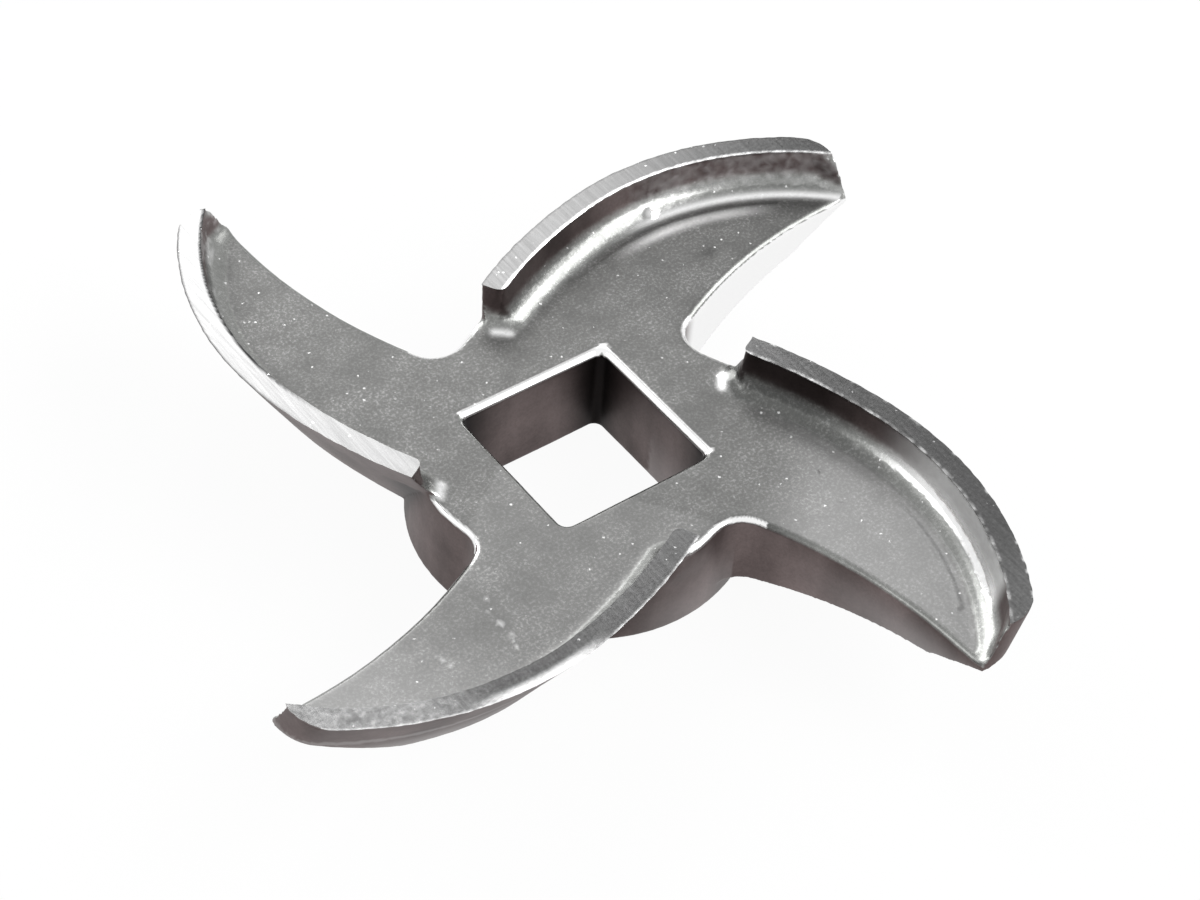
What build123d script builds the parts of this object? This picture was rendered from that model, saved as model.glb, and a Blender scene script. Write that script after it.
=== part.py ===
from build123d import *
import os
from math import acos, atan2, cos, degrees, hypot, radians, sin, tan

# Four-armed meat grinder knife, cast in one piece of stainless steel.
# Millimetres. +Z up, the ground cutting lands on top. The origin is the
# centre of the boss's lower face, and the square bore's sides run along X
# and Y. The outlines below are those of the first arm, whose root lies near
# +Y and whose tip lies near +X. The other three are turned copies.

# ---------------------------------------------------------------- heights
total_height = 15.2         # boss face to the ground lands
lip_height = 4.25           # flat floor of the arms to the ground lands
arm_depth = 13.0            # lands to the arms' underside, beside the boss
underside_rise = 11.0       # degrees: the underside climbs towards the tips
tip_thickness = 0.6         # what the underside leaves below the floor at the tips
tip_bevel = 6.8             # how far inward the tips' steeper bevel reaches

# ------------------------------------------------------------ hub and bore
arm_count = 4
boss_radius = 17.75
boss_edge = 0.6             # rounding of the boss's lower rim
bore_size = 17.6            # across the flats of the square
bore_corner = 0.9           # corner radius of the square
bore_bevel = 0.5            # bevel round both mouths of the bore

# ------------------------------------------------ cutting edge, seen in plan
edge_start_out = 2.29       # from the boss's wall to where the ground land begins
edge_start_at = 86.28       # degrees: bearing of that point from the axis
edge_heading = 28.1         # degrees: direction of the edge there
root_radius = 60.0          # the nearly straight stretch at the root
root_sweep = 15.8           # degrees
belly_radius = 34.1         # the belly of the edge
belly_sweep = 46.4          # degrees
nose_radius = 4.1           # the rounded end of the land
nose_sweep = 75.0           # degrees
rake = 31.0                 # degrees: undercut of the leading wall
nose_drift_x = 0.35         # how far the nose has moved by the floor's level
nose_drift_y = -2.45

# ------------------------------------------------------------------- lips
land_width = 2.45           # ground flat on top of the lip
land_corner = 0.9           # rounded inner corner at the land's root
lip_draft = 9.0             # degrees: slope of the lip's inner wall
lip_fillet = 3.0            # from the lip's inner wall to the floor

# ----------------------------------------------- trailing wall and gullets
back_start_out = 2.05       # from the boss's wall to the trailing edge's first point
back_start_at = 20.86       # degrees: bearing of that point from the axis
back_heading = 27.6         # degrees: direction of the trailing edge there
back_radius = 54.9          # its long, shallow curve
gullet_radius = 3.0         # between the trailing wall and the boss
floor_edge = 0.7            # rounding of the floor's edge on that wall

land_z = total_height
floor_z = total_height - lip_height
base_z = total_height - arm_depth
nose_drift = Vector(nose_drift_x, nose_drift_y)
REACH = 80.0                # well outside the knife, for the cutters
CLEAR = 2.5                 # how far cutters stand off the leading wall
RUN_IN = 9.0                # how far the edge is carried on into the hub
RUN_OUT = 12.0              # and how far beyond the nose
OVERRUN = 1.0               # how far cutters go past the faces they open
ON_FACE = 0.01              # lengths that differ by less are the same


def unit(heading):
    return Vector(cos(radians(heading)), sin(radians(heading)))


def beside_boss(bearing, out):
    """The point at a bearing from the axis, a distance out from the boss's wall."""
    return unit(bearing) * (boss_radius + out)


def edge_curves(inward=0.0, run_in=0.0, run_out=0.0):
    """The cutting edge in plan, moved inward and carried on at both ends."""
    turn = degrees(run_in / root_radius)
    over = degrees(run_out / belly_radius)
    centre = beside_boss(edge_start_at, edge_start_out) + unit(edge_heading - 90) * root_radius
    start = centre + unit(edge_heading + turn + 90) * (root_radius - inward)
    root = JernArc(start, unit(edge_heading + turn), root_radius - inward, -root_sweep - turn)
    belly = JernArc(root @ 1, root % 1, belly_radius - inward, -belly_sweep - over)
    return root, belly


def nose_curve(belly, depth):
    """The rounded end of the leading wall in plan, a depth below the lands."""
    start = (belly @ 1) + nose_drift * (depth / lip_height)
    return JernArc(start, belly % 1, nose_radius, -nose_sweep)


def leading_section(depth):
    """Section through the raked leading wall, a depth below the lands."""
    root, belly = edge_curves(0, RUN_IN)
    nose = nose_curve(belly, depth)
    if depth:
        root, _ = edge_curves(depth * tan(radians(rake)), RUN_IN)
        belly = TangentArc(root @ 1, nose @ 0, tangent=root % 1)
    end, start = nose @ 1, root @ 0
    closing = Polyline(end, end - Vector(0, REACH / 2), (0, -REACH / 2), start)
    return Pos(0, 0, land_z - depth) * make_face([root, belly, nose, closing])


def back_centre():
    return beside_boss(back_start_at, back_start_out) + unit(back_heading - 90) * back_radius


def trailing_side():
    """Everything on the arm's side of the upright trailing wall."""
    centre = back_centre()
    quarter = Pos(-boss_radius / 2, 0) * Rectangle(REACH * 2, REACH, align=(Align.MIN, Align.MIN))
    face = quarter - Pos(centre.X, centre.Y) * Circle(back_radius)
    return extrude(Pos(0, 0, base_z - OVERRUN) * face, arm_depth + 2 * OVERRUN)


def below_underside():
    """What lies under the arms: a shallow cone that steepens at the tips."""
    _, belly = edge_curves()
    bevel_start = (nose_curve(belly, lip_height) @ 1).length - tip_bevel
    bevel_z = base_z + tan(radians(underside_rise)) * (bevel_start - boss_radius)
    slope = (floor_z - tip_thickness - bevel_z) / tip_bevel
    profile = Polyline(
        (0, base_z), (boss_radius, base_z), (bevel_start, bevel_z),
        (REACH, bevel_z + slope * (REACH - bevel_start)), (REACH, -OVERRUN), (0, -OVERRUN),
        close=True)
    return revolve(Plane.XZ * make_face(profile), Axis.Z)


def gullet_web():
    """The metal that rounds the corner between trailing wall and boss."""
    centre = back_centre()
    to_hub, to_back = boss_radius + gullet_radius, back_radius - gullet_radius
    apart = hypot(centre.X, centre.Y)
    swing = acos((to_hub**2 + apart**2 - to_back**2) / (2 * to_hub * apart))
    heading = degrees(atan2(centre.Y, centre.X) + swing)
    hollow = unit(heading) * to_hub
    on_boss = unit(heading) * boss_radius
    on_back = centre + (hollow - centre).normalized() * back_radius
    aside = unit(heading + 90) * gullet_radius
    inside = on_boss - unit(heading) * gullet_radius + aside
    outline = [RadiusArc(on_boss, on_back, gullet_radius),
               Polyline(on_back, on_back + aside, inside, on_boss)]
    return extrude(Pos(0, 0, base_z) * make_face(outline), arm_depth)


def arm():
    """One arm at full height, before its floor is sunk."""
    raked = loft([leading_section(0), leading_section(arm_depth)], ruled=True)
    return (raked & trailing_side()) + gullet_web() - below_underside()


def around(shape):
    """The shape and its turned copies, one for each arm."""
    return [Rot(0, 0, -i * 360 / arm_count) * shape for i in range(arm_count)]


def hub():
    """The boss, carried up to the height of the lands."""
    post = Cylinder(boss_radius, total_height, align=(Align.CENTER, Align.CENTER, Align.MIN))
    return fillet(post.edges().group_by(Axis.Z)[0], boss_edge)


def lip_section(depth):
    """The lip in plan, a depth below the land. Its outer side stands clear."""
    grow = depth * tan(radians(lip_draft))
    root, belly = edge_curves(land_width + grow, grow, RUN_OUT)
    outer_root, outer_belly = edge_curves(-CLEAR, grow, RUN_OUT)
    sides = [Line(outer_root @ 0, root @ 0), Line(belly @ 1, outer_belly @ 1)]
    face = make_face([root, belly, outer_root, outer_belly] + sides)
    corner = face.vertices().sort_by_distance(root @ 0)[0]
    return Pos(0, 0, land_z - depth) * fillet(corner, land_corner + grow)


def lip():
    return loft([lip_section(-OVERRUN), lip_section(lip_height)], ruled=True)


def floor_cut():
    """Sinks the floor of arms and hub, and leaves the lips standing."""
    cut = Pos(0, 0, floor_z) * Cylinder(
        REACH, lip_height + OVERRUN, align=(Align.CENTER, Align.CENTER, Align.MIN))
    cut -= around(lip())
    floor = cut.faces().sort_by(Axis.Z)[0]
    return fillet(floor.inner_wires().edges(), lip_fillet)


def bore():
    """The square bore with its bevelled mouths."""
    square = RectangleRounded(bore_size, bore_size, bore_corner)
    hole = extrude(Pos(0, 0, -OVERRUN) * square, total_height + 2 * OVERRUN)
    wide = bore_size + 2 * bore_bevel
    mouth = RectangleRounded(wide, wide, bore_corner + bore_bevel)
    upper = loft([Pos(0, 0, floor_z) * mouth, Pos(0, 0, floor_z - bore_bevel) * square])
    lower = loft([mouth, Pos(0, 0, bore_bevel) * square])
    return hole + upper + lower


def free_edges(body):
    """The floor's edges above the boss, the gullets and the trailing walls."""
    level = body.faces().filter_by(Axis.Z).filter_by(
        lambda face: abs(face.center().Z - floor_z) < ON_FACE)
    rims = level.sort_by(SortBy.AREA)[-1].outer_wire().edges().filter_by(GeomType.CIRCLE)
    walls = (boss_radius, gullet_radius, back_radius)
    return [rim for rim in rims if min(abs(rim.radius - wall) for wall in walls) < ON_FACE]


def knife():
    """The casting: hub and arms, sunk to the floor between the lips."""
    body = hub() + around(arm()) - floor_cut()
    return fillet(free_edges(body), floor_edge) - bore()


if __name__ == "__main__":
    os.makedirs("parts", exist_ok=True)
    export_step(knife(), "parts/knife.step")
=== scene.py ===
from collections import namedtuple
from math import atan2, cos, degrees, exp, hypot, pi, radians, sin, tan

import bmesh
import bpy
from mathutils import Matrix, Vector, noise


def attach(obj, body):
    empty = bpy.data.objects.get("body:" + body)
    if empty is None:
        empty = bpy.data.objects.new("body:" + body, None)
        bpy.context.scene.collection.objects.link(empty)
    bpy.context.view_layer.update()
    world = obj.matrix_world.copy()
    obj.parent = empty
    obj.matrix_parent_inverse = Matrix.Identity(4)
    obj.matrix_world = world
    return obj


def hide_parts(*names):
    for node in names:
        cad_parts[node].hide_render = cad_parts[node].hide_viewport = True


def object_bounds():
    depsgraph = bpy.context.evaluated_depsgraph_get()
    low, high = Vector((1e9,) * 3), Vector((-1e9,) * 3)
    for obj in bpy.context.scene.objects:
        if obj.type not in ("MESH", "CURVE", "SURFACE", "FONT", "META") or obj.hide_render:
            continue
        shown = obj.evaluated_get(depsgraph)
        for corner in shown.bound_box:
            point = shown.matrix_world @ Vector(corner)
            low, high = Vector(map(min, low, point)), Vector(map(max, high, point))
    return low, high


bl_info = {
    "name": "Grinder Knife",
    "version": (1, 0, 0),
    "blender": (4, 5, 0),
    "location": "3D View > Sidebar > Knife",
    "description": "Dresses the cast meat grinder knife and lights it on a pale floor",
    "category": "Object",
}

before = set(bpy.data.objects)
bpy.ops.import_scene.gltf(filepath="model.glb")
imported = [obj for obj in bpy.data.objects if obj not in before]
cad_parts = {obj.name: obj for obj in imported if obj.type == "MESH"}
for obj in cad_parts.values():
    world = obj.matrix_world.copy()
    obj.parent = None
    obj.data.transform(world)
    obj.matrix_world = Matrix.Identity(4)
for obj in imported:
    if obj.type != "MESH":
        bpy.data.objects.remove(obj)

MM = 0.001
CAD_BOX = [list(corner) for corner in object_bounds()]

# Heights and distances in millimetres
LAND = CAD_BOX[1][2] / MM       # height of the ground lands, the knife's highest faces
LIP_HEIGHT = 4.25               # sunk floor to the lands
FLOOR = LAND - LIP_HEIGHT       # height of that floor
BOSS_RADIUS = 17.75
BORE_WALL = 8.8                 # from the axis to each wall of the square bore
BORE_BEVEL = 0.5                # at the bore's mouths

# The first arm's cutting edge in plan, in millimetres and degrees: an arc at the root
# that runs on into a rounder belly. The other arms are turned from it by quarters.
EDGE_START = Vector((1.3, 20.0))
EDGE_HEADING = 28.1
EDGE_BEARING = 86.28            # of the edge's start, from the axis
ROOT_RADIUS, ROOT_SWEEP = 60.0, 15.8
BELLY_RADIUS = 34.1
LAND_WIDTH = 2.45
RAKE = 31.0                     # undercut of the leading walls


# ------------------------------------------------------------------ settings
class KnifeCasting(bpy.types.PropertyGroup):
    rounding: bpy.props.IntProperty(
        name="Rounding", description="How often the cast edges are smoothed", default=5)
    waves: bpy.props.FloatProperty(
        name="Waves", description="Depth of the casting's long, shallow waves",
        default=0.05 * MM, unit="LENGTH")
    grain: bpy.props.FloatProperty(
        name="Grain", description="Depth of the skin's fine grain",
        default=0.012 * MM, unit="LENGTH")
    ragged: bpy.props.FloatProperty(
        name="Ragged edge", description="How far the lands' burred edges stray",
        default=0.09 * MM, unit="LENGTH")
    triangles: bpy.props.IntProperty(
        name="Triangles", description="Most triangles that the finished mesh may have",
        default=185000)


class KnifeFinish(bpy.types.PropertyGroup):
    steel: bpy.props.StringProperty(
        name="Tumbled steel", description="Colour of the flat tumbled faces, sRGB hex",
        default="666665")
    burnished: bpy.props.StringProperty(
        name="Burnished steel", description="Colour of the rounded, rubbed faces, sRGB hex",
        default="838482")
    # the walls' skin colour stands for brownish cast skin and for painted shade, being darker than
    # the level steel
    skin: bpy.props.StringProperty(
        name="Cast skin", description="Colour of the upright walls' cast skin, sRGB hex",
        default="524847")
    rubbed_skin: bpy.props.StringProperty(
        name="Rubbed cast skin", description="Colour of the skin's lighter patches, sRGB hex",
        default="857877")
    land: bpy.props.StringProperty(
        name="Ground land", description="Colour of the ground lands, sRGB hex",
        default="717171")
    # also the colour that the painted highlights take
    bright: bpy.props.StringProperty(
        name="Bright steel", description="Colour of freshly rubbed or ground steel, sRGB hex",
        default="F6F6F6")


class KnifeStage(bpy.types.PropertyGroup):
    floor: bpy.props.StringProperty(
        name="Floor", description="Colour of the floor, sRGB hex", default="F7F7F7")
    right_light: bpy.props.FloatProperty(
        name="Right light", description="Power of the softbox on the right, in watts",
        default=22.0)
    back_light: bpy.props.FloatProperty(
        name="Back light", description="Power of the softbox high up behind, in watts",
        default=4.4)
    left_light: bpy.props.FloatProperty(
        name="Left light", description="Power of the softbox on the left, in watts",
        default=2.5)
    low_light: bpy.props.FloatProperty(
        name="Low light", description="Power of the softbox low down behind, on the left, in watts",
        default=9.0)


# ----------------------------------------------------------------- materials
def linear(hex_colour):
    """sRGB hex to the linear colour that the shaders take."""
    levels = [int(hex_colour[i:i + 2], 16) / 255 for i in (0, 2, 4)]
    light = [c / 12.92 if c <= 0.04045 else ((c + 0.055) / 1.055) ** 2.4 for c in levels]
    return (*light, 1)


def add(tree, kind, inputs=None, out=0, **settings):
    """Adds a node, sets its properties, sets or links its inputs and gives one of its outputs."""
    node = tree.nodes.new(kind)
    for name, value in settings.items():
        setattr(node, name, value)
    for socket, value in (inputs or {}).items():
        if isinstance(value, bpy.types.NodeSocket):
            tree.links.new(value, node.inputs[socket])
        else:
            node.inputs[socket].default_value = value
    return node.outputs[out] if node.outputs else node


def new_material(name):
    material = bpy.data.materials.new(name)
    material.use_nodes = True
    material.node_tree.nodes.clear()
    return material, material.node_tree


def per_metre(size_mm):
    """A texture scale whose features are about this many millimetres across."""
    return 1 / (size_mm * MM)


def nicks(tree, place, size_mm, share, strength):
    """Small bright nicks: a share of the cells holds one, thicker in some patches than others.
    They are drawn a little larger than the real ones, so that they show."""
    stray = add(tree, "ShaderNodeTexNoise", {
        "Vector": place, "Scale": per_metre(size_mm / 2)}, "Color")
    pulled = add(tree, "ShaderNodeVectorMath", {
        0: stray, 1: (size_mm * MM,) * 3, 2: place}, operation="MULTIPLY_ADD")
    cells = {"Vector": pulled, "Scale": per_metre(size_mm)}
    colour = add(tree, "ShaderNodeTexVoronoi", cells, "Color")
    pick = add(tree, "ShaderNodeSeparateColor", {"Color": colour}, "Red")
    patches = add(tree, "ShaderNodeTexNoise", {
        "Vector": place, "Scale": per_metre(5), "Detail": 3.0}, "Fac")
    fewest, most = share * 0.2, share * 2.2
    crowd = add(tree, "ShaderNodeMapRange", {
        "Value": patches, "From Min": 0.38, "From Max": 0.62,
        "To Min": 1 - fewest, "To Max": 1 - most})
    chosen = add(tree, "ShaderNodeMath", {0: pick, 1: crowd}, operation="GREATER_THAN")
    middle = add(tree, "ShaderNodeTexVoronoi", cells, "Distance")
    near = add(tree, "ShaderNodeMapRange", {
        "Value": middle, "From Min": 0.12, "From Max": 0.34, "To Min": strength, "To Max": 0.0})
    return add(tree, "ShaderNodeMath", {0: chosen, 1: near}, operation="MULTIPLY")


def toned(tree, colour, shades):
    """A colour made lighter or darker by several shades, each 1 where it changes nothing."""
    for shade in shades:
        colour = add(tree, "ShaderNodeVectorMath", {0: colour, "Scale": shade}, operation="SCALE")
    return colour


def cast_stainless(finish):
    """Cast stainless steel, tumbled. Flat faces are matt, clouded with fine light
    specks and scattered with bright nicks. Rounded faces, which the stones rub most,
    are smoother and catch the lights. Walls and undersides keep the brownish cast skin,
    which is made darker than the level steel as painted shade. One attribute lightens the
    steel where it is worn and where highlights are painted, another darkens it as painted shade."""
    material, tree = new_material("cast_stainless_tumbled")
    place = add(tree, "ShaderNodeTexCoord", out="Object")
    facing = add(tree, "ShaderNodeTexCoord", out="Normal")
    up = add(tree, "ShaderNodeSeparateXYZ", {"Vector": facing}, "Z")
    wear_and_highlight = add(tree, "ShaderNodeAttribute", out="Fac", attribute_name="wear_and_highlight")
    painted_shade = add(tree, "ShaderNodeAttribute", out="Fac", attribute_name="painted_shade")
    flat = add(tree, "ShaderNodeMapRange", {
        "Value": up, "From Min": 0.95, "From Max": 0.992}, interpolation_type="SMOOTHSTEP")
    open_face = add(tree, "ShaderNodeMapRange", {
        "Value": up, "From Min": 0.22, "From Max": 0.60}, interpolation_type="SMOOTHSTEP")

    # clouds some millimetres across, and specks as fine as the tumbling stones leave them
    clouds = add(tree, "ShaderNodeTexNoise", {
        "Vector": place, "Scale": per_metre(4.5), "Detail": 5.0, "Roughness": 0.65}, "Fac")
    grain = add(tree, "ShaderNodeTexNoise", {
        "Vector": place, "Scale": per_metre(0.33), "Detail": 4.0, "Roughness": 0.75}, "Fac")
    specks = add(tree, "ShaderNodeMapRange", {
        "Value": grain, "From Min": 0.50, "From Max": 0.76, "To Min": 0.0, "To Max": 0.24})
    crowd = add(tree, "ShaderNodeMapRange", {
        "Value": clouds, "From Min": 0.40, "From Max": 0.66, "To Min": 0.25, "To Max": 1.0})
    specks = add(tree, "ShaderNodeMath", {0: specks, 1: crowd}, operation="MULTIPLY")

    # the skin of the walls is lighter in broad patches, where the stones reached it
    upright = add(tree, "ShaderNodeMapping", {"Vector": place, "Scale": (1.0, 1.0, 0.6)})
    worn = add(tree, "ShaderNodeTexNoise", {
        "Vector": upright, "Scale": per_metre(9), "Detail": 4.0}, "Fac")
    worn = add(tree, "ShaderNodeMapRange", {
        "Value": worn, "From Min": 0.38, "From Max": 0.78, "To Max": 0.75})
    skin = add(tree, "ShaderNodeMix", {
        0: worn, 6: linear(finish.skin), 7: linear(finish.rubbed_skin)}, 2, data_type="RGBA")
    steel = add(tree, "ShaderNodeMix", {
        0: flat, 6: linear(finish.burnished), 7: linear(finish.steel)}, 2, data_type="RGBA")
    # the upright faces take the skin's colour: brownish cast skin, made darker than the level steel
    # as painted shade
    colour = add(tree, "ShaderNodeMix", {0: open_face, 6: skin, 7: steel}, 2, data_type="RGBA")
    # clouds and grain vary the tone at random; the painted shade darkens it
    colour = toned(tree, colour, (
        add(tree, "ShaderNodeMapRange", {
            "Value": clouds, "From Min": 0.3, "From Max": 0.7, "To Min": 0.84, "To Max": 1.12}),
        add(tree, "ShaderNodeMapRange", {
            "Value": grain, "From Min": 0.3, "From Max": 0.7, "To Min": 0.88, "To Max": 1.12}),
        add(tree, "ShaderNodeMapRange", {"Value": painted_shade, "To Min": 1.0, "To Max": 0.05})))
    dots = nicks(tree, place, size_mm=0.45, share=0.022, strength=0.7)
    spots = add(tree, "ShaderNodeMath", {0: specks, 1: dots}, operation="MAXIMUM")
    spots = add(tree, "ShaderNodeMath", {0: spots, 1: open_face}, operation="MULTIPLY")
    # wear and painted highlights lighten it towards bright steel
    bright = add(tree, "ShaderNodeMath", {0: spots, 1: wear_and_highlight}, operation="ADD", use_clamp=True)
    base = add(tree, "ShaderNodeMix", {
        0: bright, 6: colour, 7: linear(finish.bright)}, 2, data_type="RGBA")

    # where the steel is worn or painted bright it is smoother as well
    matt = add(tree, "ShaderNodeMapRange", {"Value": flat, "To Min": 0.27, "To Max": 0.52})
    rough = add(tree, "ShaderNodeMix", {0: open_face, 2: 0.50, 3: matt}, 0, data_type="FLOAT")
    smoother = add(tree, "ShaderNodeMath", {0: wear_and_highlight, 1: 0.2}, operation="MULTIPLY")
    rough = add(tree, "ShaderNodeMath", {0: rough, 1: smoother}, operation="SUBTRACT")
    height = add(tree, "ShaderNodeMath", {0: grain, 1: clouds}, operation="ADD")
    bump = add(tree, "ShaderNodeBump", {
        "Height": height, "Strength": 0.2, "Distance": 0.025 * MM})
    shader = add(tree, "ShaderNodeBsdfPrincipled", {
        "Base Color": base, "Roughness": rough, "Normal": bump, "Metallic": 1.0})
    add(tree, "ShaderNodeOutputMaterial", {"Surface": shader})
    return material


def ground_steel(finish):
    """Stainless steel, surface ground. The flat lands show the wheel's fine
    parallel lines and mirror a light more sharply than the cast faces."""
    material, tree = new_material("ground_stainless_land")
    place = add(tree, "ShaderNodeTexCoord", out="Object")
    wear_and_highlight = add(tree, "ShaderNodeAttribute", out="Fac", attribute_name="wear_and_highlight")
    painted_shade = add(tree, "ShaderNodeAttribute", out="Fac", attribute_name="painted_shade")
    # the wheel's lines, drawn coarser than the real ones, which are too fine to show
    drawn = add(tree, "ShaderNodeMapping", {
        "Vector": place, "Rotation": (0, 0, radians(-28)),
        "Scale": (per_metre(0.3), per_metre(6), per_metre(6))})
    lines = add(tree, "ShaderNodeTexNoise", {
        "Vector": drawn, "Scale": 1.0, "Detail": 3.0, "Roughness": 0.6}, "Fac")
    specks = add(tree, "ShaderNodeTexNoise", {
        "Vector": place, "Scale": per_metre(0.4), "Detail": 3.0, "Roughness": 0.7}, "Fac")
    # the wheel's lines and specks vary the tone; the painted shade darkens it, as a darker
    # reflection on some lands
    colour = toned(tree, linear(finish.land)[:3], (
        add(tree, "ShaderNodeMapRange", {
            "Value": lines, "From Min": 0.3, "From Max": 0.7, "To Min": 0.84, "To Max": 1.16}),
        add(tree, "ShaderNodeMapRange", {
            "Value": specks, "From Min": 0.3, "From Max": 0.7, "To Min": 0.86, "To Max": 1.14}),
        add(tree, "ShaderNodeMapRange", {"Value": painted_shade, "To Min": 1.0, "To Max": 0.05})))
    dots = nicks(tree, place, size_mm=0.4, share=0.02, strength=0.5)
    # nicks, and the burrs' wear and painted highlights, show as bright steel
    chips = add(tree, "ShaderNodeMath", {0: dots, 1: wear_and_highlight}, operation="MAXIMUM")
    base = add(tree, "ShaderNodeMix", {
        0: chips, 6: colour, 7: linear(finish.bright)}, 2, data_type="RGBA")
    rough = add(tree, "ShaderNodeMapRange", {
        "Value": specks, "From Min": 0.3, "From Max": 0.7, "To Min": 0.14, "To Max": 0.24})
    bump = add(tree, "ShaderNodeBump", {
        "Height": lines, "Strength": 0.15, "Distance": 0.01 * MM})
    shader = add(tree, "ShaderNodeBsdfPrincipled", {
        "Base Color": base, "Roughness": rough, "Normal": bump, "Metallic": 1.0})
    add(tree, "ShaderNodeOutputMaterial", {"Surface": shader})
    return material


# ---------------------------------------------------- places on the knife, mm
def heading(angle):
    return Vector((cos(radians(angle)), sin(radians(angle))))


BACK, RIGHT, FRONT, LEFT = range(4)     # the arms, clockwise; the edge above is the back one's


def turned(point, arm):
    """The point turned about the axis, from the first arm's place to another arm's."""
    x, y = point
    for _ in range(arm % 4):
        x, y = y, -x
    return Vector((x, y))


ROOT_CENTRE = EDGE_START + heading(EDGE_HEADING - 90) * ROOT_RADIUS
BELLY_START_ANGLE = EDGE_HEADING + 90 - ROOT_SWEEP
BELLY_CENTRE = ROOT_CENTRE + heading(BELLY_START_ANGLE) * (ROOT_RADIUS - BELLY_RADIUS)


def from_edge(x, y):
    """For a place in the first arm's plan: how far along the edge it lies, and how far inward."""
    dx, dy = x - ROOT_CENTRE.x, y - ROOT_CENTRE.y
    swept = EDGE_HEADING + 90 - degrees(atan2(dy, dx))
    if swept < ROOT_SWEEP:
        return radians(swept) * ROOT_RADIUS, ROOT_RADIUS - hypot(dx, dy)
    dx, dy = x - BELLY_CENTRE.x, y - BELLY_CENTRE.y
    swept = BELLY_START_ANGLE - degrees(atan2(dy, dx))
    if swept > 180:
        swept -= 360
    along = radians(ROOT_SWEEP) * ROOT_RADIUS + radians(swept) * BELLY_RADIUS
    return along, BELLY_RADIUS - hypot(dx, dy)


ARM_BEFORE, ARM_AFTER = -6, 52  # an arm reaches from here to here, along its edge
ARM_OUTSIDE = -3                # and this far outside it


def arm_of(x, y):
    """Which arm a place belongs to, how far inward of that arm's edge it is and how far along."""
    found = []
    for arm in range(4):
        along, inward = from_edge(x, y)
        if ARM_BEFORE < along < ARM_AFTER and inward > ARM_OUTSIDE:
            found.append((arm, inward, along))
        x, y = -y, x
    return min(found, key=lambda place: place[1], default=(None, 0.0, 0.0))


def soft_step(value, start, full):
    """0 up to the start and 1 from where it is full, with a soft rise between."""
    share = max(0.0, min(1.0, (value - start) / (full - start)))
    return share * share * (3 - 2 * share)


def fade(value, start, gone):
    """1 up to the start and 0 from where it is gone, with a soft fall between."""
    return 1 - soft_step(value, start, gone)


def ridge(value, middle, width):
    """1 in the middle, and falling off to both sides within about so wide."""
    return exp(-((value - middle) / width) ** 2)


# ------------------------------------------------------------------- casting
def finished(piece):
    """Works the piece's modifiers into its mesh."""
    bpy.context.view_layer.update()
    depsgraph = bpy.context.evaluated_depsgraph_get()
    worked = bpy.data.meshes.new_from_object(piece.evaluated_get(depsgraph))
    piece.modifiers.clear()
    old, piece.data = piece.data, worked
    bpy.data.meshes.remove(old)


def merged_copy(node, name):
    """A closed copy of the CAD node's mesh, whose triangles come loose."""
    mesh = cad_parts[node].data.copy()
    mesh.materials.clear()
    skin = bmesh.new()
    skin.from_mesh(mesh)
    bmesh.ops.remove_doubles(skin, verts=skin.verts, dist=0.001 * MM)
    skin.to_mesh(mesh)
    skin.free()
    piece = bpy.data.objects.new(name, mesh)
    bpy.context.scene.collection.objects.link(piece)
    return piece


def even_skin(piece):
    """Cuts the skin into even cells of about 0.19 mm, with the sharp edges kept."""
    remesh = piece.modifiers.new("cells", "REMESH")
    remesh.mode = "SHARP"
    remesh.octree_depth = 9
    remesh.scale = 0.95
    remesh.use_remove_disconnected = False
    finished(piece)


def is_land(height, slack=0.03):
    """Whether a height in metres is that of the lands, to within so many millimetres."""
    return height > (LAND - slack) * MM


def smooth(skin, verts, times):
    for _ in range(times):
        bmesh.ops.smooth_vert(skin, verts=verts, factor=0.5,
                              use_axis_x=True, use_axis_y=True, use_axis_z=True)


def soften(skin, rounding):
    """Rounds the cast edges, and gives the cast vertices. The lands stay flat and sharp."""
    cast = []
    for v in skin.verts:
        if is_land(v.co.z, slack=0.06):
            v.co.z = LAND * MM
        else:
            cast.append(v)
    smooth(skin, cast, rounding)
    return cast


PIP = Vector((25.2, 22.4, 11.4))        # a drop of metal left on the back arm's fillet
PIP_HEIGHT = 0.34
DENT = Vector((27.4, 14.4))             # a shallow dent in its floor
DENT_DEPTH = 0.14
# a low, soft line along the fillet's foot on the back and right arms' floors
SEAM_INWARD, SEAM_WIDTH, SEAM_HEIGHT = 6.1, 0.28, 0.07
SEAM_STARTS = {BACK: 6, RIGHT: 22}      # along the edge
SEAM_RISE, SEAM_END = 8, 42
BORDER = 0.3                            # y = 0.3 x runs between those two floors


def near_pip(x, y, z, width):
    """1 at the middle of the pip, and falling off within about so wide."""
    return exp(-((x - PIP.x) ** 2 + (y - PIP.y) ** 2 + (z - PIP.z) ** 2) / width ** 2)


def in_dent(x, y, sharpness):
    """1 in the middle of the dent, which is longer in x."""
    return exp(-((x - DENT.x) ** 2 / 1.7 + (y - DENT.y) ** 2 / 0.9) * sharpness)


def relief(x, y, z):
    """How far the back and right arms' own marks stand out, in millimetres."""
    lift = PIP_HEIGHT * near_pip(x, y, z, width=0.55) - DENT_DEPTH * in_dent(x, y, sharpness=1.5)
    arm = BACK if y > BORDER * x else RIGHT
    along, inward = from_edge(x, y) if arm == BACK else from_edge(-y, x)
    if along < SEAM_END:
        start = SEAM_STARTS[arm]
        seam = ridge(inward, SEAM_INWARD, SEAM_WIDTH)
        lift += SEAM_HEIGHT * seam * soft_step(along, start, full=start + SEAM_RISE)
    return lift


WAVE_LENGTH, GRAIN_SIZE = 7, 0.6        # of the casting's waves and its grain
WAVE_SINK, GRAIN_SINK = 0.5, 1          # sunk by these, they mostly stay inside the solid


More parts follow.
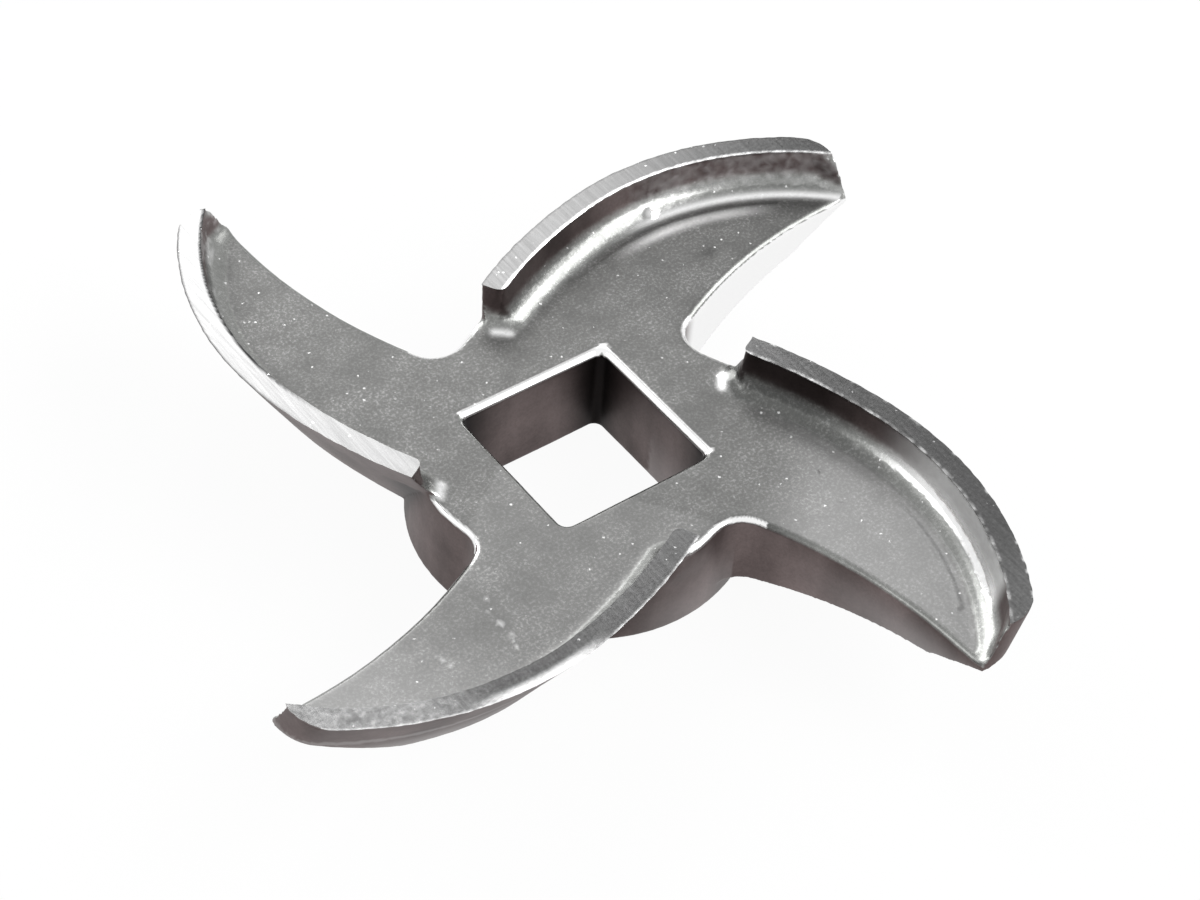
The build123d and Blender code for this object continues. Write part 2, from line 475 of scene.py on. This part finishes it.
def roughen(cast, sizes):
    """Waves and grain, and the back and right arms' own marks."""
    for v in cast:
        wave = noise.noise(v.co * per_metre(WAVE_LENGTH)) - WAVE_SINK
        grain = noise.noise(v.co * per_metre(GRAIN_SIZE)) - GRAIN_SINK
        lift = (sizes.waves * wave + sizes.grain * grain) / MM
        x, y, z = v.co.x / MM, v.co.y / MM, v.co.z / MM
        if x > 0 and z > FLOOR - 0.5:
            lift += relief(x, y, z)
        v.co += v.normal * (lift * MM)


NOSE_END = Vector((44.74, 15.88))       # where the first arm's land ends, in plan
NOSE_DRIFT = Vector((0.35, -2.45))      # how far that end has moved down at the floor
NOSE_REACH = 43                         # from the axis: only the noses are further out
NOSE_BULGE = 0.9                        # how far the noses bulge between land and floor
LONGER_X, LONGER_Y = 0.25, -0.6         # how much further the front arm's land reaches
STIRRED = 0.02                          # what moves further than this is smoothed afterwards


def full_nose(x, y, z, arm):
    """Fills the end of an arm's lip, so that it bulges between land and floor."""
    depth = (LAND - z) / (LAND - FLOOR)
    if not 0 <= depth < 1:
        return x, y
    away = (Vector((x, y)) - NOSE_END - NOSE_DRIFT * depth).length
    bulge = NOSE_BULGE * sin(pi * depth) * fade(away, start=0.8, gone=3.0)
    longer = (1 - depth) * fade(away, start=1.0, gone=4.0) if arm == FRONT else 0.0
    return x + LONGER_X * longer, y + min(-bulge, LONGER_Y * longer)


def fill_noses(skin):
    """Bulges the noses, and gives the vertices between land and floor that this stirred."""
    moved = set()
    first = atan2(NOSE_END.y, NOSE_END.x)
    for v in skin.verts:
        x, y, z = v.co.x / MM, v.co.y / MM, v.co.z / MM
        if z > FLOOR and hypot(x, y) > NOSE_REACH:
            arm = round((first - atan2(y, x)) / (pi / 2)) % 4
            back = turned(full_nose(*turned((x, y), -arm), z, arm), arm)
            if (back - Vector((x, y))).length > STIRRED and not is_land(v.co.z, slack=0.06):
                moved.add(v)
            v.co.x, v.co.y = back.x * MM, back.y * MM
    return moved


# Beside the boss some leading walls drop straight from the land, because the wheel
# that undercut them started late.
SQUARE_ROOTS = (1.0, 1.0, 0.5, 0.0)     # how squarely each arm's does
ROOT_BEFORE, ROOT_AFTER = 5.6, 4.0      # from this far before the edge's start to this far past it
ROOT_OUTSIDE = -1                       # and no further outside the edge
ROOT_NEAR, ROOT_FAR = 14, 27            # all of it lies this far from the axis
ROOT_LOW, ROOT_HIGH = 3.5, 9.5          # heights between which the filling grows to its full
ROOT_GAP = 2.4                          # the most that it fills, at the floor's level


def square_root(x, y, z, amount):
    """Fills the undercut beside the root of an arm: the wall drops straight from the land there."""
    ahead, out = heading(EDGE_HEADING), heading(EDGE_HEADING + 90)
    dx, dy = x - EDGE_START.x, y - EDGE_START.y
    along, inward = dx * ahead.x + dy * ahead.y, -(dx * out.x + dy * out.y)
    if not -ROOT_BEFORE < along < ROOT_AFTER or inward < ROOT_OUTSIDE:
        return x, y
    if along < 0:
        gap = ROOT_GAP * ((along + ROOT_BEFORE) / ROOT_BEFORE) ** 1.3
    else:
        gap = ROOT_GAP * fade(along, start=0, gone=ROOT_AFTER)
    gap *= min(1.0, (LAND - z) / (LAND - FLOOR)) * soft_step(z, ROOT_LOW, ROOT_HIGH)
    lip = soft_step(z, start=FLOOR - 0.5, full=FLOOR + 2)
    width = 2.8 - 1.5 * lip             # of the metal that moves along with the wall
    push = amount * gap * fade(inward - gap, start=0, gone=width)
    return x + out.x * push, y + out.y * push


def fill_roots(cast):
    """Squares the roots, and gives the vertices that this moved."""
    moved = set()
    for v in cast:
        x, y, z = v.co.x / MM, v.co.y / MM, v.co.z / MM
        if z < ROOT_LOW or not ROOT_NEAR < hypot(x, y) < ROOT_FAR:
            continue
        for arm, amount in enumerate(SQUARE_ROOTS):
            here = tuple(turned((x, y), -arm))
            there = square_root(*here, z, amount)
            if there != here:
                back = turned(there, arm)
                v.co.x, v.co.y = back.x * MM, back.y * MM
                moved.add(v)
    return moved


def shape_cast(skin, cast, sizes):
    """The casting's own forms, with a soft passage to where metal was added."""
    skin.normal_update()
    roughen(cast, sizes)
    moved = fill_noses(skin) | fill_roots(cast)
    smooth(skin, list(moved), times=8)


BURR_FINE, BURR_LONG = 0.9, 3           # lengths of the burr's small and large strays
BURR_SINK = 0.7                         # sunk by this, they mostly stay inside the solid


def rag_edges(skin, ragged):
    """Lets the lands' burred edges stray a little."""
    for v in skin.verts:
        beside = (e.other_vert(v).co.z for e in v.link_edges)
        if is_land(v.co.z, slack=0.001) and not all(is_land(z, slack=0.01) for z in beside):
            fine, long = (noise.noise(v.co * per_metre(size)) for size in (BURR_FINE, BURR_LONG))
            side = Vector((v.co.x, v.co.y, 0)).normalized()
            v.co += side * (ragged * (fine + 0.6 * long - BURR_SINK))


# ---------------------------------------------------------------------- wear and painted light
# The functions below say how bright a place on the skin is painted, for wear and as painted
# highlights, and some also how dark it is painted as shade, as shares from 0 to 1. A place's
# numbers are millimetres: along an arm's edge from where it starts (its nose starts at 44),
# inward of that edge, out from the axis.
Place = namedtuple("Place", "co x y z out normal mist arm inward along")
MIST_SIZE = 0.7                         # of the mottling in the wear


def mottled(place, usual, spread):
    """A strength that is so much as a rule, and so much more or less in spots."""
    return max(0.0, usual + spread * place.mist)


def near_line(x, y, start, end):
    """Distance from a place to a line between two points, in plan."""
    start, end, here = Vector(start), Vector(end), Vector((x, y))
    way = end - start
    share = max(0.0, min(1.0, (here - start).dot(way) / way.length_squared))
    return (here - start - way * share).length


def on_land(place):
    """The ground lands: their burred rims, with painted highlights or lines of painted shade, and
    painted darker reflections over all but the left land.
    """
    inward, along = place.inward, place.along
    outer = fade(abs(inward), start=0.10, gone=0.32)
    inner = fade(abs(inward - LAND_WIDTH), start=0.10, gone=0.32)
    if place.arm == BACK:
        # painted reflection: darker towards the tip, with painted shade along the outer rim and a
        # painted highlight along the burred inner rim
        darker_reflection = 0.42 + 0.1 * soft_step(along, start=14, full=34)
        burr_highlight = inner * mottled(place, usual=0.4, spread=0.5)
        return burr_highlight, max(darker_reflection, 0.7 * outer) * (1 - inner)
    if place.arm == RIGHT:
        # painted reflection: darker except near the tip, with painted highlights along the burred
        # rims
        darker_reflection = 0.35 - 0.25 * soft_step(along, start=34, full=44)
        burr_highlight = outer * mottled(place, usual=-0.3, spread=1.6)
        return max(burr_highlight, inner * mottled(place, usual=0.2, spread=0.6)), darker_reflection
    if place.arm == FRONT:
        # painted reflection: darker near the root, with a painted highlight along the burred outer
        # rim and painted reflections across the land further out
        darker_reflection = 0.4 * fade(along, start=26, gone=36)
        burr_highlight = outer * mottled(place, usual=0.5, spread=0.5)
        stripe = soft_step(along, start=15, full=21) * fade(along, start=26, gone=33)
        stripe *= 0.8 * fade(inward, start=0.3, gone=1.3)
        haze = soft_step(along, start=28, full=38) * mottled(place, usual=0.12, spread=0.15)
        return max(burr_highlight, stripe, haze), darker_reflection
    # the left land: thin lines of painted shade along both rims
    return 0.0, max(outer, inner) * soft_step(along, start=10, full=22)


def on_inner_wall(place):
    """Whether the place is on a lip's inner wall or the steep part of its fillet."""
    starts = LAND_WIDTH - 0.1 if place.z > FLOOR + 0.6 else LAND_WIDTH + 0.25
    return place.normal.z < 0.75 and place.z > FLOOR and place.inward > starts


def in_back_arm(place):
    """A bright pip, a scuffed wall with painted shade near the root, painted highlights along the
    fillet's crest and foot, and a floor darker further out, with painted shade in its dent.
    """
    x, y, z, along, inward = place.x, place.y, place.z, place.along, place.inward
    pip = near_pip(x, y, z, width=0.6)
    if on_inner_wall(place):
        scuffs = 0.2 * soft_step(along, start=20, full=30) * mottled(place, usual=0.5, spread=1.0)
        # painted shade on the wall near the root
        return max(pip, scuffs), 0.4 * fade(along, start=10, gone=22)
    if z > FLOOR + 1.2:
        return pip, 0.0
    # painted highlights along the fillet's crest and foot
    crest = 0.9 * ridge(inward, middle=4.7, width=0.4) * soft_step(along, start=19, full=27)
    foot = 0.5 * ridge(inward, middle=6.8, width=0.6)
    foot *= soft_step(along, start=15, full=26) * fade(along, start=34, gone=43)
    # the floor darker further from the axis, and painted shade in the dent
    darker = 0.15 * soft_step(place.out, start=14, full=26)
    return max(pip, crest, foot), max(darker, 0.4 * in_dent(x, y, sharpness=1.2))


def in_right_arm(place):
    """A wall with painted shade at the root and a painted highlight further out, a level floor
    lighter further out, and painted shade on the fillet near the root.
    """
    along, up = place.along, place.normal.z
    if on_inner_wall(place):
        # a painted highlight on the wall further out, and painted shade near the root
        bright = soft_step(along, start=16, full=27) * fade(along, start=41, gone=44)
        return (bright * mottled(place, usual=0.9, spread=0.1),
                0.7 * fade(along, start=8, gone=20))
    # the level floor lighter further out, and painted shade on the fillet near the root
    bright = soft_step(place.out, start=17, full=27) * soft_step(up, start=0.97, full=0.999)
    darker = fade(along, start=12, gone=26) * fade(up, start=0.95, gone=0.995)
    return 0.13 * bright, 0.5 * darker


# scratches on the front arm's floor: both ends, and how wide
SCRATCHES = (
    ((-28.6, -15.3), (-27.9, -17.7), 0.16), ((-29.3, -17.0), (-27.2, -16.4), 0.12),
    ((-29.0, -17.6), (-27.6, -15.8), 0.10), ((-21.6, -14.2), (-21.0, -16.6), 0.14),
    ((-21.0, -16.6), (-21.8, -19.1), 0.16), ((-20.2, -11.8), (-21.6, -14.2), 0.09),
)


def in_front_arm(place):
    """A floor that is lighter further out, with some scratches."""
    if place.z > FLOOR + 0.4:
        return 0.0, 0.0
    bright = 0.03 + 0.09 * soft_step(place.out, start=26, full=42)
    for start, end, width in SCRATCHES:
        away = near_line(place.x, place.y, start, end)
        near = fade(away, start=width * 0.3, gone=width * 1.5)
        bright = max(bright, 0.28 * near * mottled(place, usual=0.6, spread=1.0))
    return bright, 0.0


def in_left_arm(place):
    """Bright patches on the wall towards the tip."""
    if not on_inner_wall(place) or place.along < 30:
        return 0.0, 0.0
    patches = place.mist + noise.noise(place.co * per_metre(2.2))
    return 0.25 * soft_step(patches, start=-0.1, full=0.7), 0.0


IN_ARM = {BACK: in_back_arm, RIGHT: in_right_arm, FRONT: in_front_arm, LEFT: in_left_arm}


def gullet_rims(place):
    """Painted highlights on the rounded rims of the gullets, beside the boss."""
    if not (FLOOR - 0.8 < place.z < FLOOR - 0.02 and 17 < place.out < 21):
        return 0.0
    up = place.normal.z
    return soft_step(up, start=0.3, full=0.5) * fade(up, start=0.93, gone=0.98)


LIP_FOOT = (0.9, 16.8), (2.2, 15.8)     # the line where the first arm's lip runs out into the hub
LIT_FEET = (BACK, RIGHT, LEFT)          # the arms where it gets a painted highlight


def lip_feet(place):
    """Painted highlights at the feet of the lips' ends, on the hub."""
    if not FLOOR - 0.1 < place.z < FLOOR + 1.2:
        return 0.0
    feet = ([turned(end, arm) for end in LIP_FOOT] for arm in LIT_FEET)
    away = min(near_line(place.x, place.y, *foot) for foot in feet)
    return 0.85 * ridge(away, middle=0, width=0.42)


def boss_front(place):
    """The lower part of the hub, on the side of -y and +x."""
    if place.out > BOSS_RADIUS + 0.75 or place.y > 0:
        return 0.0
    return 0.12 * fade(place.z, start=0, gone=8) * soft_step(place.x, start=-8, full=0)


def tip_walls(place):
    """The arms' walls and undersides below the floor, more so towards the tips."""
    tip = soft_step(place.out, start=22, full=44)
    low = fade(place.z, start=FLOOR - 5, gone=FLOOR)
    return 0.22 * tip * low * fade(place.normal.z, start=0.2, gone=0.5)


def bore_rims(place):
    """Painted highlights on the bevelled rims of the bore's walls on the sides of +x and +y."""
    bevel, side, other = BORE_WALL + BORE_BEVEL, max(place.x, place.y), min(place.x, place.y)
    if place.z < FLOOR - 0.6 or side < BORE_WALL - 0.1 or other < 0.1 - BORE_WALL:
        return 0.0
    return fade(side, start=bevel, gone=bevel + 0.3)


def on_rims(place):
    """Painted highlights on the gullets' rims, the lips' feet and the bore's rims; the hub's lower
    front and the walls towards the tips lighter.
    """
    kinds = (gullet_rims, lip_feet, boss_front, tip_walls, bore_rims)
    return max(kind(place) for kind in kinds)


def is_lit_wall(place):
    """The back arm's trailing wall, which is painted bright all over as a highlight."""
    x, y, normal = place.x, place.y, place.normal
    return (x > 16 and y > 4 and place.z < FLOOR
            and normal.z < 0.5 and normal.x > -0.4 and normal.y < -0.35)


def painted_corner_shade(place):
    """Painted shade in the bore's corners and in the creases where the leading walls meet the boss.
    """
    x, y, z = place.x, place.y, place.z
    if z > FLOOR - 0.5:
        return 0.0
    if max(abs(x), abs(y)) < BORE_WALL + 0.6:
        corner = hypot(BORE_WALL - abs(x), BORE_WALL - abs(y))
        return ridge(corner, middle=0, width=3.2)
    if place.out > 20.5:
        return 0.0
    crease = radians(EDGE_BEARING) - (LAND - z) * tan(radians(RAKE)) / BOSS_RADIUS
    away = (atan2(y, x) - crease + pi / 4) % (pi / 2) - pi / 4
    return 0.8 * ridge(away * BOSS_RADIUS, middle=0, width=1.6)


def paint(mesh):
    """Marks where the steel is worn or painted bright as a highlight, and where it is
    darkened as painted shade, as two attributes.
    """
    wear_and_highlight = mesh.attributes.new("wear_and_highlight", "FLOAT", "POINT")
    painted_shade = mesh.attributes.new("painted_shade", "FLOAT", "POINT")
    for v in mesh.vertices:
        x, y, z = v.co / MM
        mist = noise.noise(v.co * per_metre(MIST_SIZE))
        place = Place(v.co, x, y, z, hypot(x, y), v.normal, mist, *arm_of(x, y))
        bright = dark = 0.0
        if place.arm is not None and z > FLOOR - 0.6:
            wear = on_land if z > LAND - 0.1 else IN_ARM[place.arm]
            bright, dark = wear(place)
        bright = max(bright, on_rims(place))
        # the back arm's trailing wall is painted bright as a highlight
        if is_lit_wall(place):
            bright = soft_step(place.out, start=18.5, full=22.0)
        # the first attribute holds wear and painted highlights, the second painted shade
        wear_and_highlight.data[v.index].value = min(1.0, bright)
        painted_shade.data[v.index].value = min(1.0, max(dark, painted_corner_shade(place)))


# --------------------------------------------------------------------- piece
LEVEL = 0.9999                  # z of a face's normal, from which it counts as level


def thin_out(piece, triangles):
    """Thins the mesh where it is cast, and leaves the lands and their edges as fine as they are."""
    mesh = piece.data
    group = piece.vertex_groups.new(name="cast")
    cast = [v.index for v in mesh.vertices if not is_land(v.co.z, slack=0.3)]
    group.add(cast, 1.0, "REPLACE")
    thin = piece.modifiers.new("thin", "DECIMATE")
    thin.vertex_group = group.name
    thin.vertex_group_factor = 10.0
    thin.ratio = min(1.0, triangles / (2 * len(mesh.polygons)))     # the cells are quads
    finished(piece)
    piece.vertex_groups.clear()
    for v in piece.data.vertices:
        if is_land(v.co.z):
            v.co.z = LAND * MM


class KNIFE_OT_casting(bpy.types.Operator):
    """Makes the knife's skin: softened cast edges, waves, grain, wear with painted highlights and
    painted shade, and burred lands
    """
    bl_idname = "knife.casting"
    bl_label = "Knife casting"

    def execute(self, context):
        sizes, finish = context.scene.knife_casting, context.scene.knife_finish
        piece = merged_copy("knife", "knife_casting")
        even_skin(piece)
        skin = bmesh.new()
        skin.from_mesh(piece.data)
        cast = soften(skin, sizes.rounding)
        shape_cast(skin, cast, sizes)
        rag_edges(skin, sizes.ragged)
        skin.to_mesh(piece.data)
        skin.free()
        thin_out(piece, sizes.triangles)
        mesh = piece.data
        paint(mesh)
        mesh.materials.append(cast_stainless(finish))
        mesh.materials.append(ground_steel(finish))
        for face in mesh.polygons:
            face.use_smooth = face.normal.z < LEVEL
            face.material_index = int(is_land(face.center.z))
        mesh.set_sharp_from_angle(angle=radians(38))
        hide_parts("knife")
        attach(piece, "root")
        return {"FINISHED"}


# --------------------------------------------------------------------- stage
HEADING, DROP, ROLL = -40.16, 45.82, 5.08      # degrees: the camera's turn, downward look and roll
CAMERA = Vector((-142.70, -171.76, 238.84))    # millimetres
FOCAL_LENGTH, SENSOR_WIDTH = 96.23, 36         # millimetres
AWAY = 1.4                                     # metres from the knife to each softbox
FLOOR_REACH = 3.0                              # metres from the knife to the floor's edges
PLAIN_SHARE = 0.95                             # of the floor that is plain white where it is seen


def bearing(left, above):
    """The direction so many degrees to the left of the camera's view and above the floor."""
    level = cos(radians(above))
    way = Vector((-sin(radians(left)) * level, cos(radians(left)) * level, sin(radians(above))))
    return Matrix.Rotation(radians(HEADING), 3, "Z") @ way


def seen_rays(tree):
    """1 for rays that show the background: camera, glossy and transmission rays."""
    seen = 0.0
    for kind in ("Is Camera Ray", "Is Glossy Ray", "Is Transmission Ray"):
        ray = add(tree, "ShaderNodeLightPath", out=kind)
        seen = add(tree, "ShaderNodeMath", {0: seen, 1: ray}, operation="MAXIMUM")
    return seen


def white_card(stage):
    """Matt white studio card. Most of what the camera and the steel see of it is
    plain white, and the rest is lit card, which keeps the knife's soft shadow."""
    material, tree = new_material("matt_white_card")
    share = add(tree, "ShaderNodeMath", {0: seen_rays(tree), 1: PLAIN_SHARE}, operation="MULTIPLY")
    card = add(tree, "ShaderNodeBsdfDiffuse", {"Color": linear(stage.floor)})
    plain = add(tree, "ShaderNodeEmission", {"Color": (1, 1, 1, 1), "Strength": 1.0})
    shown = add(tree, "ShaderNodeMixShader", {0: share, 1: card, 2: plain})
    add(tree, "ShaderNodeOutputMaterial", {"Surface": shown})
    return material


def softbox(name, left, above, half_width, half_height, power):
    """A softbox that spans so many degrees to each side, seen from the knife."""
    place = bearing(left, above) * AWAY
    lamp = bpy.data.lights.new(name, "AREA")
    lamp.shape = "RECTANGLE"
    lamp.size = 2 * AWAY * tan(radians(half_width))
    lamp.size_y = 2 * AWAY * tan(radians(half_height))
    lamp.energy = power
    holder = bpy.data.objects.new(name, lamp)
    turn = place.to_track_quat("Z", "Y").to_matrix().to_4x4()
    holder.matrix_world = Matrix.Translation(place) @ turn
    bpy.context.scene.collection.objects.link(holder)


class KNIFE_OT_stage(bpy.types.Operator):
    """Adds the floor, the world, the softboxes and the camera"""
    bl_idname = "knife.stage"
    bl_label = "Knife stage"

    def execute(self, context):
        stage, scene = context.scene.knife_stage, context.scene
        mesh = bpy.data.meshes.new("floor")
        sheet = bmesh.new()
        bmesh.ops.create_grid(sheet, x_segments=1, y_segments=1, size=FLOOR_REACH)
        sheet.to_mesh(mesh)
        sheet.free()
        mesh.materials.append(white_card(stage))
        floor = bpy.data.objects.new("floor", mesh)
        scene.collection.objects.link(floor)

        # a white room to look at, which lights the matt floor only dimly
        world = bpy.data.worlds.new("studio")
        world.use_nodes = True
        tree = world.node_tree
        tree.nodes.clear()
        strength = add(tree, "ShaderNodeMapRange", {
            "Value": seen_rays(tree), "To Min": 0.3, "To Max": 1.0})
        sky = add(tree, "ShaderNodeBackground", {"Color": (1, 1, 1, 1), "Strength": strength})
        add(tree, "ShaderNodeOutputWorld", {"Surface": sky})
        scene.world = world

        softbox("softbox_right", left=-82, above=36, half_width=30, half_height=17,
                power=stage.right_light)
        softbox("softbox_back", left=13.5, above=40, half_width=11.5, half_height=8,
                power=stage.back_light)
        softbox("softbox_low", left=46, above=20, half_width=14, half_height=18,
                power=stage.low_light)
        softbox("softbox_left", left=98, above=35, half_width=18, half_height=13,
                power=stage.left_light)

        lens = bpy.data.cameras.new("camera")
        lens.sensor_width = SENSOR_WIDTH
        lens.lens = FOCAL_LENGTH
        camera = bpy.data.objects.new("camera", lens)
        turn = Matrix.Rotation(radians(HEADING), 4, "Z")
        turn @= Matrix.Rotation(radians(90 - DROP), 4, "X")
        turn @= Matrix.Rotation(radians(ROLL), 4, "Z")
        camera.matrix_world = Matrix.Translation(CAMERA * MM) @ turn
        scene.collection.objects.link(camera)
        scene.camera = camera
        scene.view_settings.view_transform = "Standard"
        return {"FINISHED"}


class KNIFE_PT_panel(bpy.types.Panel):
    """Lists the knife's settings, the casting and the stage"""
    bl_label = "Grinder Knife"
    bl_idname = "KNIFE_PT_panel"
    bl_space_type = "VIEW_3D"
    bl_region_type = "UI"
    bl_category = "Knife"

    def draw(self, context):
        for group, operator in (("knife_casting", "knife.casting"), ("knife_finish", None),
                                ("knife_stage", "knife.stage")):
            box = self.layout.box()
            settings = getattr(context.scene, group)
            for name in settings.__annotations__:
                box.prop(settings, name)
            if operator:
                box.operator(operator)


CLASSES = (KnifeCasting, KnifeFinish, KnifeStage, KNIFE_OT_casting, KNIFE_OT_stage, KNIFE_PT_panel)


def register():
    for cls in CLASSES:
        bpy.utils.register_class(cls)
    bpy.types.Scene.knife_casting = bpy.props.PointerProperty(type=KnifeCasting)
    bpy.types.Scene.knife_finish = bpy.props.PointerProperty(type=KnifeFinish)
    bpy.types.Scene.knife_stage = bpy.props.PointerProperty(type=KnifeStage)


def unregister():
    del bpy.types.Scene.knife_stage, bpy.types.Scene.knife_finish, bpy.types.Scene.knife_casting
    for cls in reversed(CLASSES):
        bpy.utils.unregister_class(cls)


def main():
    register()
    bpy.ops.knife.casting()
    bpy.ops.knife.stage()


if __name__ == "__main__":
    main()
